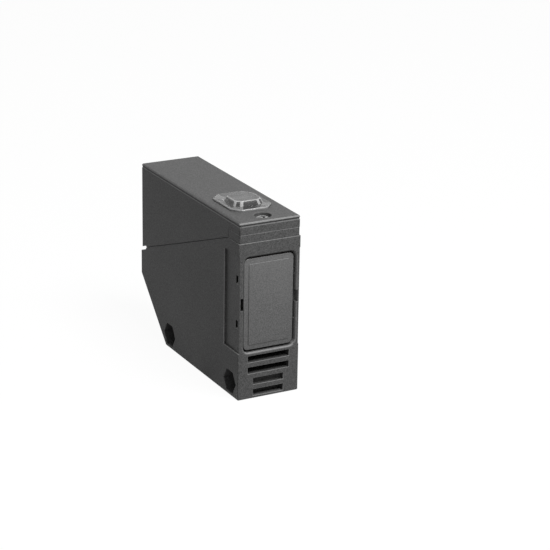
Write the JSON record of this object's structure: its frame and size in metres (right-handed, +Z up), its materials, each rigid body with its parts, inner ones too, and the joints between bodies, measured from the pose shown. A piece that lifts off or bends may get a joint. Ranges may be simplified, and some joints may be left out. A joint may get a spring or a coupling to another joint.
{
  "type": "through-beam sensor",
  "caption": "Slim upright through-beam sensor with a slanted screw-on hood, clear indicator window, framed front window, blind slots and cross holes with nut pockets.",
  "frame": {"origin": "middle of the footprint of the whole housing, on the plane of its foot", "axes": "+X across the narrow width, -Y the side with the optics (the beam leaves along -Y), +Z up to the hood with the indicator window"},
  "size_m": [0.024, 0.08, 0.0675],
  "materials": {
    "housing_plastic": "fine spark-eroded texture, dark grey",
    "hood_plastic": "fine spark-eroded texture, dark grey",
    "seal_rubber": "dull black elastomer",
    "screw_steel": "nickel-plated steel",
    "turned_brass": "plain turned brass",
    "clear_cap": "clear moulded plastic",
    "filter_plastic": "dark infrared filter, satin face",
    "lens_glass": "clear polished lens",
    "optics_black": "black moulded plastic, matt",
    "led_epoxy": "blue-tinted clear epoxy",
    "lamp_green": "diffuse green epoxy",
    "board_laminate": "green solder mask on glass laminate",
    "tinned_pins": "bright tinned copper alloy",
    "ferrite": "dark grey ferrite",
    "winding_tape": "amber tape over enamelled wire",
    "can_sleeve": "dark sleeve on an aluminium can",
    "varistor_coat": "blue epoxy coat",
    "chip_black": "black moulding compound",
    "header_black": "black header body",
    "deck_plastic": "mid-grey moulded plastic",
    "terminal_plastic": "light grey polyamide",
    "clamp_steel": "zinc-plated steel",
    "pipe_clear": "clear light guide",
    "gland_plastic": "dark grey polyamide"
  },
  "bodies": {
    "root": {"base_housing": "housing_plastic", "hood": "hood_plastic", "hood_gasket": "seal_rubber", "hood_screw": "screw_steel", "screw_seal_ring": "seal_rubber", "screw_insert": "turned_brass", "indicator_window": "clear_cap", "front_window": "filter_plastic", "window_seal": "seal_rubber", "objective_lens": "lens_glass", "lens_retainer": "optics_black", "lens_carrier": "optics_black", "emitter_led": "led_epoxy", "emitter_board": "board_laminate", "emitter_link_pins": "tinned_pins", "main_board": "board_laminate", "power_choke_core": "ferrite", "power_choke_winding": "winding_tape", "smoothing_capacitor": "can_sleeve", "surge_varistor": "varistor_coat", "bridge_rectifier": "chip_black", "voltage_regulator": "chip_black", "driver_chip": "chip_black", "link_header": "header_black", "link_header_pins": "tinned_pins", "terminal_board": "board_laminate", "power_led": "lamp_green", "light_pipe": "pipe_clear", "terminal_deck": "deck_plastic", "deck_screws": "clamp_steel", "terminal_block": "terminal_plastic", "terminal_clamps": "clamp_steel", "terminal_screws": "clamp_steel", "terminal_contacts": "tinned_pins", "gland_sleeve": "gland_plastic", "gland_washer": "clamp_steel", "gland_grommet": "seal_rubber"}
  },
  "joints": []
}
